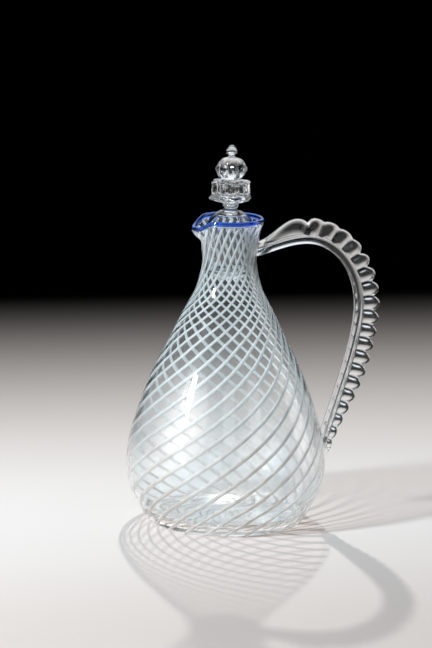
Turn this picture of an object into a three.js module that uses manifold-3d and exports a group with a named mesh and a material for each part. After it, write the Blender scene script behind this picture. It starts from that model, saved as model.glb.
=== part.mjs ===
// A blown glass jug with a loop handle and a loose stopper, in millimetres, +Z up.
// Milk-white canes lie in the outside of the clear wall and twist round it from base to lip.
// The handle points along +X and the pulled lip along -X. The jug stands on z = 0.
import * as THREE from 'three';
import Module from 'manifold-3d';
import { mergeVertices } from 'three/addons/utils/BufferGeometryUtils.js';

// Body and neck
const bellyRadius = 56;
const bellyHeight = 33;
const neckRadius = 15.3;
const neckHeight = 147;
const lipRadius = 18.6;
const lipHeight = 169.6;
const footRadius = 42.5;
const footRingWidth = 6;
const heelWidth = 2.1;
const heelHeight = 1.7;
const kickHeight = 3;
const baseThickness = 3.4;
const bodyWall = 2.4;
const neckWall = 1.8;
const pontilRadius = 10;

// Pulled lip
const spoutStart = 157;
const spoutReach = 2.9;
const spoutDrop = 4.6;
const spoutHalfAngle = THREE.MathUtils.degToRad(50);
const spoutFlatAngle = THREE.MathUtils.degToRad(12);

// White canes in their grooves
const caneCount = 24;
const caneTwist = THREE.MathUtils.degToRad(1.42);
const caneThickness = 0.9;
const caneShareAtBase = 0.44;
const caneShareOnBody = 0.29;
const caneShareAtNeck = 0.40;
const canesWidenHeight = 105;
const caneClearance = 0.25;
const caneEndMargin = 1.2;
const grooveSlope = 0.18;

// Blue thread round the lip
const threadWidth = 2.6;
const threadHeight = 2.7;

// Handle: the line between rod and trail runs from the neck over the crown and down to the foot
const rootHeight = 155;
const crownX = 43.5;
const crownHeight = 161.3;
const handleReach = 77.3;
const reachHeight = 120;
const handleFootHeight = 37;
const rootRise = 2;
const rootBite = 1;
const footLift = 0.5;
const footLean = 5.2;
const rodThickness = 4.2;
const rodWidth = 8.6;
const trailWidth = 6.6;
const finCount = 2;
const finsShare = 0.31;
const lobeCount = 16;
const lobeHeight = 10;
const lobeThickness = 3.4;
const trailRise = 0.13;
const trailFootHeight = 4;

// Stopper: its plug is seated below the lip, and the knops stand on the plug's shoulder
const plugSeatDepth = 11.6;
const plugLength = 19.5;
const plugShoulderHeight = 18.6;
const plugBottomRadius = 7.6;
const plugRounding = 4;
const plugTaper = 0.6;
const plugCollarRadius = 4.8;
const gatherHeight = 3.5;
const gatherRadius = 5.7;
const lowerKnopHeight = 13.1;
const lowerKnopRadius = 11.4;
const upperKnopHeight = 12;
const upperKnopRadius = 8.4;
const finialHeight = 6.7;
const finialRadius = 3.2;
const finialStemRadius = 1.7;
const knopRibs = 8;
const plugSides = 28;
const gatherSides = 20;
const finialSides = 14;

// Gap between pieces that were joined hot, and round the plug in the neck
const joinGap = 0.3;
const plugClearance = 0.3;

const clearGlass = new THREE.MeshStandardMaterial({
  color: 0xe4ebec, roughness: 0.03, metalness: 0, transparent: true, opacity: 0.35,
});
const whiteGlass = new THREE.MeshStandardMaterial({
  color: 0xe9eef0, roughness: 0.12, metalness: 0,
});
const blueGlass = new THREE.MeshStandardMaterial({
  color: 0x123fa6, roughness: 0.05, metalness: 0, transparent: true, opacity: 0.85,
});

// A closed body from a chain of rings, with a fan over its first and its last ring.
// Rings of one count join point by point, and rings of unequal counts by share of a turn.
function bodyFromRings(rings) {
  const positions = [];
  const starts = [];
  for (const ring of rings) {
    starts.push(positions.length / 3);
    for (const point of ring) {
      positions.push(point.x, point.y, point.z);
    }
  }
  const faces = [];
  for (let i = 0; i + 1 < rings.length; i += 1) {
    joinRings(faces, rings[i], starts[i], rings[i + 1], starts[i + 1]);
  }
  fanOver(faces, positions, rings[0], starts[0], true);
  fanOver(faces, positions, rings.at(-1), starts.at(-1), false);
  return facingOut(positions, faces);
}

function joinRings(faces, lower, lowerStart, upper, upperStart) {
  const alike = lower.length === upper.length;
  let a = 0;
  let b = 0;
  while (a < lower.length || b < upper.length) {
    const lowerNext = alike ? a + 1 : shareOfTurn(lower, a + 1);
    const upperNext = alike ? b + 1 : shareOfTurn(upper, b + 1);
    const onLower = lowerStart + (a % lower.length);
    const onUpper = upperStart + (b % upper.length);
    if (b >= upper.length || (a < lower.length && lowerNext <= upperNext + 1e-9)) {
      faces.push(onLower, lowerStart + ((a + 1) % lower.length), onUpper);
      a += 1;
    } else {
      faces.push(onLower, upperStart + ((b + 1) % upper.length), onUpper);
      b += 1;
    }
  }
}

function shareOfTurn(ring, index) {
  if (index >= ring.length) {
    return 1 + (index - ring.length);
  }
  return ring.shares ? ring.shares[index] : index / ring.length;
}

function fanOver(faces, positions, ring, start, first) {
  const middle = new THREE.Vector3();
  ring.forEach((point) => middle.add(point));
  middle.divideScalar(ring.length);
  const centre = positions.length / 3;
  positions.push(middle.x, middle.y, middle.z);
  for (let i = 0; i < ring.length; i += 1) {
    const next = start + ((i + 1) % ring.length);
    if (first) {
      faces.push(centre, next, start + i);
    } else {
      faces.push(centre, start + i, next);
    }
  }
}

function facingOut(positions, faces) {
  const a = new THREE.Vector3();
  const b = new THREE.Vector3();
  const c = new THREE.Vector3();
  let volume = 0;
  for (let i = 0; i < faces.length; i += 3) {
    a.fromArray(positions, faces[i] * 3);
    b.fromArray(positions, faces[i + 1] * 3);
    c.fromArray(positions, faces[i + 2] * 3);
    volume += a.dot(b.cross(c));
  }
  const turned = volume < 0 ? faces.toReversed() : faces;
  const geometry = new THREE.BufferGeometry();
  geometry.setAttribute('position', new THREE.Float32BufferAttribute(positions, 3));
  geometry.setIndex(turned);
  return geometry;
}

// Heights and radii of the outside of the wall, as shares between two named stations.
function between(start, end, shares) {
  return shares.map(([across, up]) => new THREE.Vector2(
    THREE.MathUtils.lerp(start.x, end.x, across),
    THREE.MathUtils.lerp(start.y, end.y, up),
  ));
}

const heel = new THREE.Vector2(footRadius + heelWidth, heelHeight);
const belly = new THREE.Vector2(bellyRadius, bellyHeight);
const neck = new THREE.Vector2(neckRadius, neckHeight);
const lip = new THREE.Vector2(lipRadius, lipHeight);
const lowerBodyShape = [[0, 0], [0.2, 0.12], [0.5, 0.33], [0.83, 0.58]];
const upperBodyShape = [
  [0, 0], [0.045, 0.14], [0.18, 0.30], [0.34, 0.45], [0.555, 0.61], [0.76, 0.76], [0.923, 0.875],
];
const lipShape = [[0, 0], [0.18, 0.40], [0.34, 0.66], [0.64, 0.86], [1, 1]];
const sideCurve = new THREE.SplineCurve([
  ...between(heel, belly, lowerBodyShape),
  ...between(belly, neck, upperBodyShape),
  ...between(neck, lip, lipShape),
]);

const sideSteps = 19;
const footInnerRadius = footRadius - footRingWidth;

function underside(radius) {
  const share = Math.min(radius / footInnerRadius, 1);
  return kickHeight * (1 - share * share);
}

// The stations of the outside, from the edge of the pontil mark over the foot to the lip.
const underStations = [
  pontilRadius, pontilRadius + caneEndMargin, (pontilRadius + footInnerRadius) / 2, footInnerRadius,
].map((radius) => new THREE.Vector2(radius, underside(radius)));
const heelIndex = underStations.length + 1;
const stations = [
  ...underStations, new THREE.Vector2(footRadius, 0), ...sideCurve.getPoints(sideSteps),
];
const inward = stations.map((station, i) => {
  const before = stations[Math.max(i - 1, 0)];
  const after = stations[Math.min(i + 1, stations.length - 1)];
  const along = after.clone().sub(before).normalize();
  return new THREE.Vector2(-along.y, along.x);
});
const runs = [0];
for (let i = 1; i < stations.length; i += 1) {
  runs.push(runs[i - 1] + stations[i].distanceTo(stations[i - 1]));
}

// How far the lip is pulled out and down at a place in the wall.
function pulled(radius, turn, height) {
  const fromSpout = Math.abs(Math.atan2(Math.sin(turn - Math.PI), Math.cos(turn - Math.PI)));
  const rise = THREE.MathUtils.smoothstep(height, spoutStart, lipHeight);
  const drop = 1 - THREE.MathUtils.smoothstep(fromSpout, spoutFlatAngle, spoutHalfAngle);
  const reach = Math.cos(Math.min(fromSpout / spoutHalfAngle, 1) * Math.PI / 2) ** 2;
  const outer = radius + spoutReach * rise * reach;
  return new THREE.Vector3(
    outer * Math.cos(turn), outer * Math.sin(turn), height - spoutDrop * rise * drop,
  );
}

// Share of the way round that is white: less on the blown-out body than at base and neck.
function caneShare(height) {
  const offBase = THREE.MathUtils.smoothstep(height, kickHeight, bellyHeight);
  const toNeck = THREE.MathUtils.smoothstep(height, canesWidenHeight, neckHeight);
  const body = THREE.MathUtils.lerp(caneShareAtBase, caneShareOnBody, offBase);
  return THREE.MathUtils.lerp(body, caneShareAtNeck, toNeck);
}

// Turns of the four corners of a groove or cane at one station, measured from its first edge.
// A cane is narrower than its groove by the clearance, square to the way that the cane runs.
function corners(i, inset) {
  const station = stations[i];
  const pitch = 2 * Math.PI / caneCount;
  const width = pitch * caneShare(station.y);
  const lean = Math.hypot(1, station.x * caneTwist);
  const side = inset * lean / station.x;
  const slope = width * grooveSlope;
  return [side, slope + side, width - slope - side, width - side];
}

function pointInWall(i, turn, depth) {
  const place = stations[i].clone().addScaledVector(inward[i], depth);
  return pulled(place.x, turn, place.y);
}

function outsideRing(i, depth) {
  const pitch = 2 * Math.PI / caneCount;
  const ring = [];
  ring.shares = [];
  for (let k = 0; k < caneCount; k += 1) {
    corners(i, 0).forEach((corner, c) => {
      const below = c === 1 || c === 2 ? depth : 0;
      ring.push(pointInWall(i, k * pitch + corner + runs[i] * caneTwist, below));
      ring.shares.push((k * pitch + corner) / (2 * Math.PI));
    });
  }
  return ring;
}

const groovedStations = stations.map((station, i) => i).slice(1, -1);

// The wall: grooved outside, rounded lip, smooth inside, and a floor that follows the kick.
function vesselGeometry() {
  const grooveDepth = caneThickness + caneClearance;
  const rings = stations.map((station, i) => {
    return outsideRing(i, groovedStations.includes(i) ? grooveDepth : 0);
  });
  rings.push(...insideRings());
  return bodyFromRings(rings);
}

function wallAt(height) {
  const share = THREE.MathUtils.clamp((height - bellyHeight) / (neckHeight - bellyHeight), 0, 1);
  return THREE.MathUtils.lerp(bodyWall, neckWall, share);
}

// The inside of the wall, from above the floor to the lip, whose edge is level.
function insideStations() {
  const places = stations.map((station, i) => (
    station.clone().addScaledVector(inward[i], wallAt(station.y))
  ));
  const last = places.length - 1;
  places[last].set(lip.x - neckWall, lip.y);
  return places.filter((place, i) => i >= heelIndex && place.y > baseThickness + 2);
}

const insideProfile = insideStations();

// The two edges of each groove where it meets the lip.
function lipTurns() {
  const last = stations.length - 1;
  const edges = corners(last, 0);
  const pitch = 2 * Math.PI / caneCount;
  const turns = [];
  for (let k = 0; k < caneCount; k += 1) {
    for (const corner of [edges[0], edges[3]]) {
      turns.push(k * pitch + corner + runs[last] * caneTwist);
    }
  }
  return turns;
}

// The inside rings, with half as many points below the lip as at it.
function insideRings() {
  const atLip = lipTurns();
  const below = atLip.filter((turn, i) => i % 2 === 0);
  const floor = [footRadius - baseThickness, footInnerRadius * 0.8, footInnerRadius * 0.4].map(
    (radius) => new THREE.Vector2(radius, underside(radius) + baseThickness),
  );
  return [...insideProfile.toReversed(), ...floor].map((place, level) => {
    const turns = level === 0 ? atLip : below;
    const ring = turns.map((turn) => pulled(place.x, turn, place.y));
    ring.shares = turns.map((turn) => (turn - atLip[0]) / (2 * Math.PI));
    return ring;
  });
}

function caneGeometry(k) {
  const pitch = 2 * Math.PI / caneCount;
  const rings = groovedStations.map((i) => (
    corners(i, caneClearance).map((corner, c) => {
      const depth = c === 1 || c === 2 ? caneThickness : 0;
      return pointInWall(i, k * pitch + corner + runs[i] * caneTwist, depth);
    })
  ));
  return bodyFromRings(rings);
}

// The blue thread, an oval bead that sits on the edge of the lip and follows its pull.
function threadGeometry() {
  const turns = lipTurns();
  const sides = 6;
  const middle = lipRadius - neckWall / 2;
  const height = lipHeight + joinGap + threadHeight / 2;
  const positions = [];
  const faces = [];
  for (let i = 0; i < turns.length; i += 1) {
    for (let j = 0; j < sides; j += 1) {
      const round = 2 * Math.PI * (j + 0.5) / sides;
      const place = pulled(
        middle + Math.cos(round) * threadWidth / 2,
        turns[i],
        height + Math.sin(round) * threadHeight / 2,
      );
      positions.push(place.x, place.y, place.z);
      const next = ((i + 1) % turns.length) * sides;
      const up = (j + 1) % sides;
      faces.push(i * sides + j, next + j, next + up);
      faces.push(i * sides + j, next + up, i * sides + up);
    }
  }
  return facingOut(positions, faces);
}

// Radius of the outside of the wall at a height above the heel.
function outsideRadius(height) {
  const i = stations.findIndex((station, n) => n >= heelIndex && station.y >= height);
  const low = stations[i - 1];
  const high = stations[i];
  const share = (height - low.y) / (high.y - low.y);
  return THREE.MathUtils.lerp(low.x, high.x, share);
}

// The line between rod and trail, in the upright plane through the spout and the handle.
function handleLine() {
  const root = new THREE.Vector3(neckRadius - rootBite, 0, rootHeight);
  const crown = new THREE.Vector3(crownX, 0, crownHeight);
  const outermost = new THREE.Vector3(handleReach, 0, reachHeight);
  const footX = outsideRadius(handleFootHeight) + footLift;
  const foot = new THREE.Vector3(footX, 0, handleFootHeight);
  const rise = crownX - neckRadius;
  const drop = crownHeight - reachHeight;
  const fall = reachHeight - handleFootHeight;
  const line = new THREE.CurvePath();
  line.add(new THREE.CubicBezierCurve3(
    root, new THREE.Vector3(root.x + rise * 0.35, 0, rootHeight + rootRise),
    new THREE.Vector3(crownX - rise * 0.4, 0, crownHeight), crown,
  ));
  line.add(new THREE.CubicBezierCurve3(
    crown, new THREE.Vector3(crownX + (handleReach - crownX) * 0.53, 0, crownHeight),
    new THREE.Vector3(handleReach, 0, reachHeight + drop * 0.58), outermost,
  ));
  line.add(new THREE.CubicBezierCurve3(
    outermost, new THREE.Vector3(handleReach, 0, reachHeight - fall * 0.27),
    new THREE.Vector3(footX + footLean, 0, handleFootHeight + fall * 0.25), foot,
  ));
  return line;
}

// Shares of a line's length from a start up to, but not at, an end.
function evenShares(start, end, count) {
  return Array.from({ length: count }, (_, i) => start + (end - start) * i / count);
}

// A body swept along the handle's line. Its section gives places across the plane of the
// handle and out from the line, as it is at a share of the line's length.
function sweptGeometry(line, shares, section) {
  return bodyFromRings([...shares, 1].map((share) => {
    const middle = line.getPointAt(share);
    const along = line.getTangentAt(share);
    const out = new THREE.Vector3(-along.z, 0, along.x);
    return section(share).map(([across, outward]) => new THREE.Vector3(
      middle.x + out.x * outward, across, middle.z + out.z * outward,
    ));
  }));
}

const joinSpread = 0.05;

// Wider where the hot glass was pressed on to neck and body.
function spread(share) {
  const end = Math.min(share, 1 - share);
  return 1 + 0.45 * (1 - THREE.MathUtils.smoothstep(end, 0, joinSpread));
}

function rodSection(share) {
  const half = rodWidth / 2 * spread(share);
  const reed = rodThickness * 0.08;
  const top = -joinGap / 2;
  const bottom = top - rodThickness;
  return [
    [-half, bottom + rodThickness * 0.45], [-half * 0.55, bottom], [0, bottom + reed],
    [half * 0.55, bottom], [half, bottom + rodThickness * 0.45],
    [half * 0.8, top], [-half * 0.8, top],
  ];
}

// Pinches passed on the way along the trail: long fins from the neck on, then even lobes.
function pinchesAt(share) {
  if (share < finsShare) {
    return finCount * share / finsShare;
  }
  return finCount + lobeCount * (share - finsShare) / (1 - finsShare);
}

function trailShares() {
  return [
    ...evenShares(0, finsShare, finCount * 6), ...evenShares(finsShare, 1, lobeCount * 4),
  ];
}

// The trail: high and thin in the middle of each pinch, low and full between two.
function trailSection(share) {
  const pinch = Math.abs(Math.sin(Math.PI * pinchesAt(share))) ** 0.6;
  const swell = 0.4 + 0.6 * THREE.MathUtils.smoothstep(share, 0, trailRise);
  const fade = THREE.MathUtils.smoothstep(share, 0.68, 1);
  const tall = THREE.MathUtils.lerp(lobeHeight * swell, trailFootHeight, fade);
  const height = tall * (0.74 + 0.26 * pinch);
  const low = trailWidth / 2 * spread(share);
  const high = THREE.MathUtils.lerp(low * 0.8, lobeThickness / 2, pinch);
  const base = joinGap / 2;
  return [
    [-low, base], [-low * 0.9, base + height * 0.35], [-high, base + height * 0.8],
    [0, base + height],
    [high, base + height * 0.8], [low * 0.9, base + height * 0.35], [low, base],
  ];
}

const wasm = await Module();
wasm.setup();

function toManifold(geometry) {
  const bare = geometry.clone();
  bare.deleteAttribute('normal');
  bare.deleteAttribute('uv');
  const merged = mergeVertices(bare, 1e-4);
  return new wasm.Manifold(new wasm.Mesh({
    numProp: 3,
    vertProperties: new Float32Array(merged.attributes.position.array),
    triVerts: new Uint32Array(merged.index.array),
  }));
}

function toGeometry(solid) {
  const mesh = solid.getMesh();
  const geometry = new THREE.BufferGeometry();
  geometry.setAttribute('position', new THREE.BufferAttribute(mesh.vertProperties, 3));
  geometry.setIndex(new THREE.BufferAttribute(mesh.triVerts, 1));
  return geometry;
}

// The outside of the wall grown by the join gap, which the handle's ends are cut back to.
function wallEnvelope() {
  const side = stations.slice(heelIndex).map((station, i) => (
    station.clone().addScaledVector(inward[heelIndex + i], -joinGap)
  ));
  const profile = [
    new THREE.Vector2(0, side[0].y), ...side, new THREE.Vector2(0, side.at(-1).y),
  ];
  const lathe = new THREE.LatheGeometry(profile, 64);
  lathe.rotateX(Math.PI / 2);
  return toManifold(lathe);
}

function joinedToWall(geometry, envelope) {
  return toGeometry(toManifold(geometry).subtract(envelope));
}

// A turned piece with vertical ribs. Each row of its profile is [radius, height, rib depth].
function ribbedGeometry(profile, ribs, around) {
  const rings = profile.map(([radius, height, depth]) => {
    const ring = [];
    for (let i = 0; i < around; i += 1) {
      const turn = 2 * Math.PI * i / around;
      const out = radius + depth * Math.cos(turn * ribs);
      ring.push(new THREE.Vector3(out * Math.cos(turn), out * Math.sin(turn), height));
    }
    return ring;
  });
  return bodyFromRings(rings);
}

function insideRadius(height) {
  const i = insideProfile.findIndex((place) => place.y >= height && place.x < bellyRadius / 2);
  const low = insideProfile[i - 1];
  const high = insideProfile[i];
  return THREE.MathUtils.lerp(low.x, high.x, (height - low.y) / (high.y - low.y));
}

const plugSeat = lipHeight - plugSeatDepth;
const plugTop = plugSeat + plugShoulderHeight;

// The plug: ground to the inside of the neck up to its seat, under a domed shoulder.
function plugGeometry() {
  const ground = [0, 0.25, 0.5, 0.75, 1].map((share) => {
    const height = THREE.MathUtils.lerp(neckHeight, plugSeat, share);
    return [insideRadius(height) - plugClearance, height, 0];
  });
  const throat = ground[0][0];
  const shoulder = ground.at(-1)[0] + plugClearance;
  const plugBottom = plugSeat - plugLength;
  const dome = plugShoulderHeight;
  return ribbedGeometry([
    [plugBottomRadius, plugBottom, 0],
    [throat - plugTaper - plugRounding * 0.3, plugBottom + plugRounding * 0.4, 0],
    [throat - plugTaper, plugBottom + plugRounding, 0],
    ...ground,
    [shoulder, plugSeat + dome * 0.3, 0],
    [shoulder * 0.935, plugSeat + dome * 0.55, 0],
    [shoulder * 0.785, plugSeat + dome * 0.78, 0],
    [plugCollarRadius * 1.58, plugSeat + dome * 0.93, 0],
    [plugCollarRadius, plugTop, 0],
  ], 1, plugSides);
}

function gatherGeometry(base) {
  return ribbedGeometry([
    [plugCollarRadius * 0.73, base, 0],
    [plugCollarRadius * 0.67, base + gatherHeight * 0.3, 0],
    [gatherRadius, base + gatherHeight * 0.65, 0],
    [gatherRadius * 0.93, base + gatherHeight, 0],
  ], 1, gatherSides);
}

// Crimped at both edges into ears, with upright ribs between.
function lowerKnopGeometry(base) {
  const rise = lowerKnopHeight;
  const wide = lowerKnopRadius;
  return ribbedGeometry([
    [wide * 0.5, base, 0],
    [wide * 0.86, base + rise * 0.1, wide * 0.06],
    [wide, base + rise * 0.2, wide * 0.1],
    [wide * 0.88, base + rise * 0.36, wide * 0.05],
    [wide * 0.9, base + rise * 0.62, wide * 0.05],
    [wide * 0.88, base + rise * 0.76, wide * 0.05],
    [wide * 0.9, base + rise * 0.88, wide * 0.08],
    [wide * 0.5, base + rise, 0],
  ], knopRibs, knopRibs * 6);
}

function upperKnopGeometry(base) {
  const rise = upperKnopHeight;
  const wide = upperKnopRadius;
  return ribbedGeometry([
    [wide * 0.6, base, 0],
    [wide * 0.84, base + rise * 0.2, wide * 0.05],
    [wide, base + rise * 0.46, wide * 0.09],
    [wide * 0.88, base + rise * 0.64, wide * 0.06],
    [wide * 0.68, base + rise * 0.88, wide * 0.04],
    [wide * 0.4, base + rise, 0],
  ], knopRibs, knopRibs * 6);
}

function finialGeometry(base) {
  const rise = finialHeight;
  return ribbedGeometry([
    [finialStemRadius * 1.2, base, 0],
    [finialStemRadius, base + rise * 0.1, 0],
    [finialStemRadius, base + rise * 0.2, 0],
    [finialRadius, base + rise * 0.36, 0],
    [finialRadius * 0.84, base + rise * 0.66, 0],
    [finialRadius * 0.2, base + rise, 0],
  ], 1, finialSides);
}

function piece(name, geometry, material) {
  const mesh = new THREE.Mesh(geometry, material);
  mesh.name = name;
  return mesh;
}

function jugPieces() {
  const jug = new THREE.Group();
  jug.add(piece('vessel', vesselGeometry(), clearGlass));
  for (let k = 0; k < caneCount; k += 1) {
    jug.add(piece(`cane_${String(k + 1).padStart(2, '0')}`, caneGeometry(k), whiteGlass));
  }
  jug.add(piece('lip_wrap', threadGeometry(), blueGlass));
  const line = handleLine();
  const envelope = wallEnvelope();
  const rod = joinedToWall(sweptGeometry(line, evenShares(0, 1, 26), rodSection), envelope);
  const trail = joinedToWall(sweptGeometry(line, trailShares(), trailSection), envelope);
  jug.add(piece('handle_rod', rod, clearGlass));
  jug.add(piece('handle_trail', trail, clearGlass));
  return jug;
}

function stopperPieces() {
  const stopper = new THREE.Group();
  const gatherBase = plugTop + joinGap;
  const lowerKnopBase = gatherBase + gatherHeight + joinGap;
  const upperKnopBase = lowerKnopBase + lowerKnopHeight + joinGap;
  const finialBase = upperKnopBase + upperKnopHeight + joinGap;
  stopper.add(piece('stopper_plug', plugGeometry(), clearGlass));
  stopper.add(piece('stopper_gather', gatherGeometry(gatherBase), clearGlass));
  stopper.add(piece('stopper_lower_knop', lowerKnopGeometry(lowerKnopBase), clearGlass));
  stopper.add(piece('stopper_upper_knop', upperKnopGeometry(upperKnopBase), clearGlass));
  stopper.add(piece('stopper_finial', finialGeometry(finialBase), clearGlass));
  return stopper;
}

// The origin is under the middle of the whole object, on the surface that it stands on.
const object = new THREE.Group();
object.add(jugPieces(), stopperPieces());
const middle = new THREE.Box3().setFromObject(object).getCenter(new THREE.Vector3());
object.position.set(-middle.x, -middle.y, 0);

export default object;
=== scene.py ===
import math

import bpy
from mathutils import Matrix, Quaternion, Vector


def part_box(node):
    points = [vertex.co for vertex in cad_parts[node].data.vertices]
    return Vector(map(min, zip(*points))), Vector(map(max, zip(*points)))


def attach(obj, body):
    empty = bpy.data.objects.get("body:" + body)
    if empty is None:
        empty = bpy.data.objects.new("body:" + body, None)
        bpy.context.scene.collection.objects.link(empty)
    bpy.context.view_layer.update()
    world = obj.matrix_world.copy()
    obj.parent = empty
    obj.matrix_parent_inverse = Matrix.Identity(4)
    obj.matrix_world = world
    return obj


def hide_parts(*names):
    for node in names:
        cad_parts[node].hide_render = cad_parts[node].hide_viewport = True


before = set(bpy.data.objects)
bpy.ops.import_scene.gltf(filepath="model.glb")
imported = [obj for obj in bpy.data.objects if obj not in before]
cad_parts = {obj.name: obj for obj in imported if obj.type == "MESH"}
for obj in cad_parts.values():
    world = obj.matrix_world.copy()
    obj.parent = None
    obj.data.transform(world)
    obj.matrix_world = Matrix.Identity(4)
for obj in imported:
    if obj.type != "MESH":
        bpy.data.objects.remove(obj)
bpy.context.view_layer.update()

# The wall. A gather of clear soda glass, blown to a round body, drawn up to a
# narrow neck and opened to a lip, which is pulled to a spout on the left. The
# base is pushed up in the middle and stands on the ring that is left round it.
mm = 0.001
plug_low, plug_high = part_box("stopper_plug")
axis = Vector(((plug_low.x + plug_high.x) / 2, (plug_low.y + plug_high.y) / 2, 0))

heel = (44.6, 1.7)
belly = (56.0, 33.0)
neck = (15.3, 147.0)
lip = (18.6, 169.6)
side_steps = 120
foot_inner = 36.5
pontil_radius = 10.0
kick = 3.0
base_thickness = 3.4
body_wall = 2.4
neck_wall = 1.8
inner_corner_rise = 2.2
inner_corner_run = 2.4
inner_floor_rise = 1.1
inner_floor_run = 5.5
inner_floor_share = 0.85
lip_steps = 8
spout = {
    "Spout Start": 157.0 * mm,
    "Lip Height": lip[1] * mm,
    "Spout Reach": 2.9 * mm,
    "Spout Drop": 4.6 * mm,
    "Spout Half Angle": math.radians(50),
    "Spout Flat Angle": math.radians(12),
}


def between(start, end, shares):
    """Places between two stations of the wall, each given as its share across and its share up."""
    return [
        (start[0] + (end[0] - start[0]) * across, start[1] + (end[1] - start[1]) * up)
        for across, up in shares
    ]


def drawn(places, steps):
    """A smooth line of even steps through the places."""
    line = []
    for i in range(steps + 1):
        at = (len(places) - 1) * i / steps
        n = min(int(at), len(places) - 2)
        t = at - n
        a, b = places[max(n - 1, 0)], places[n]
        c, d = places[n + 1], places[min(n + 2, len(places) - 1)]
        line.append(
            tuple(
                q + 0.5 * t * (r - p + t * (2 * p - 5 * q + 4 * r - s + t * (3 * (q - r) + s - p)))
                for p, q, r, s in zip(a, b, c, d)
            )
        )
    return line


side = drawn(
    between(heel, belly, [(0, 0), (0.2, 0.12), (0.5, 0.33), (0.83, 0.58)])
    + between(
        belly,
        neck,
        [
            (0, 0),
            (0.045, 0.14),
            (0.18, 0.30),
            (0.34, 0.45),
            (0.555, 0.61),
            (0.76, 0.76),
            (0.923, 0.875),
        ],
    )
    + between(neck, lip, [(0, 0), (0.18, 0.40), (0.34, 0.66), (0.64, 0.86), (1, 1)]),
    side_steps,
)


def underside(radius):
    """Height of the pushed-up base over the surface that the jug stands on."""
    return kick * (1 - min(radius / foot_inner, 1) ** 2)


def wall_at(height):
    """Thickness of the wall, which thins from the belly to the neck."""
    share = min(max((height - belly[1]) / (neck[1] - belly[1]), 0), 1)
    return body_wall + (neck_wall - body_wall) * share


def grown(line, by):
    """The line moved inwards at each place by what the rule gives for its height."""
    moved = []
    for i, (x, z) in enumerate(line):
        before, after = line[max(i - 1, 0)], line[min(i + 1, len(line) - 1)]
        dx, dz = after[0] - before[0], after[1] - before[1]
        length = math.hypot(dx, dz)
        moved.append((x - dz / length * by(z), z + dx / length * by(z)))
    return moved


under = [(r, underside(r)) for r in (0, 4, 8, 12, 16, 20, 24, 28, 31, 33.5, 35.5)]
foot_ring = [(36.6, 0.08), (37.3, 0), (39.5, 0), (41.7, 0), (43.0, 0.25), (43.9, 0.8)]
corner_height = kick + base_thickness
inside = [p for p in grown(side, wall_at) if p[1] > corner_height + inner_corner_rise]
floor_edge = [
    (inside[0][0] - inner_corner_run, corner_height),
    (inside[0][0] - inner_floor_run, base_thickness + inner_floor_rise),
]
floor_in = [(r, underside(r * inner_floor_share) + base_thickness) for r in range(36, -1, -4)]
lip_round = []
middle = lip[0] - neck_wall / 2
for step in range(1, lip_steps):
    turn = math.pi * step / lip_steps
    lip_round.append(
        (middle + neck_wall / 2 * math.cos(turn), lip[1] + neck_wall / 2 * math.sin(turn))
    )
inside[-1] = (lip[0] - neck_wall, lip[1])
wall_line = under + foot_ring + side + lip_round + inside[::-1] + floor_edge + floor_in


class Wire:
    """A value on its way through a tree of nodes, so that a sum over it reads as a sum."""

    def __init__(self, tree, socket):
        self.tree = tree
        self.socket = socket

    def sum(self, operation, *others):
        node = self.tree.nodes.new("ShaderNodeMath")
        node.operation = operation
        for socket, value in zip(node.inputs, (self, *others)):
            plug_in(self.tree, socket, value)
        return Wire(self.tree, node.outputs[0])

    def __add__(self, other):
        return self.sum("ADD", other)

    def __sub__(self, other):
        return self.sum("SUBTRACT", other)

    def __mul__(self, other):
        return self.sum("MULTIPLY", other)

    def __truediv__(self, other):
        return self.sum("DIVIDE", other)

    def __pow__(self, other):
        return self.sum("POWER", other)

    def cos(self):
        return self.sum("COSINE")

    def sin(self):
        return self.sum("SINE")

    def ramp(self, start, end, low=0.0, high=1.0, smooth=True):
        """Low up to the start, high from the end on, and a soft change between."""
        node = self.tree.nodes.new("ShaderNodeMapRange")
        node.interpolation_type = "SMOOTHSTEP" if smooth else "LINEAR"
        for socket, value in zip(node.inputs, (self, start, end, low, high)):
            plug_in(self.tree, socket, value)
        return Wire(self.tree, node.outputs[0])


def plug_in(tree, socket, value):
    """Links a wire or a socket, or writes a plain value."""
    if isinstance(value, Wire):
        value = value.socket
    if isinstance(value, bpy.types.NodeSocket):
        tree.links.new(value, socket)
    elif value is not None:
        socket.default_value = value


def put(tree, kind, values=None, **settings):
    """A node with its settings and its inputs, and its first output that is on."""
    node = tree.nodes.new(kind)
    for name, value in settings.items():
        setattr(node, name, value)
    for name, value in (values or {}).items():
        plug_in(tree, node.inputs[name], value)
    return Wire(tree, next(s for s in node.outputs if s.enabled))


def outlet(wire, name):
    """Another output of the node that a wire comes from."""
    return Wire(wire.tree, wire.socket.node.outputs[name])


def new_tree(name, kind, inputs, outputs):
    """An empty group with its named sockets, its inputs as wires and its output sockets."""
    tree = bpy.data.node_groups.new(name, kind)
    for direction, sockets in (("INPUT", inputs), ("OUTPUT", outputs)):
        for label, sort in sockets.items():
            tree.interface.new_socket(label, in_out=direction, socket_type="NodeSocket" + sort)
    given = tree.nodes.new("NodeGroupInput").outputs
    wires = {label: Wire(tree, given[label]) for label in inputs}
    return tree, wires, tree.nodes.new("NodeGroupOutput").inputs


def xyz(tree, x, y, z):
    return put(tree, "ShaderNodeCombineXYZ", {"X": x, "Y": y, "Z": z})


def apart(tree, vector):
    """The three parts of a vector."""
    x = put(tree, "ShaderNodeSeparateXYZ", {"Vector": vector})
    return x, outlet(x, "Y"), outlet(x, "Z")


def distance(x, y):
    """The straight distance that two steps at right angles lead."""
    return (x * x + y * y).sum("SQRT")


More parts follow.
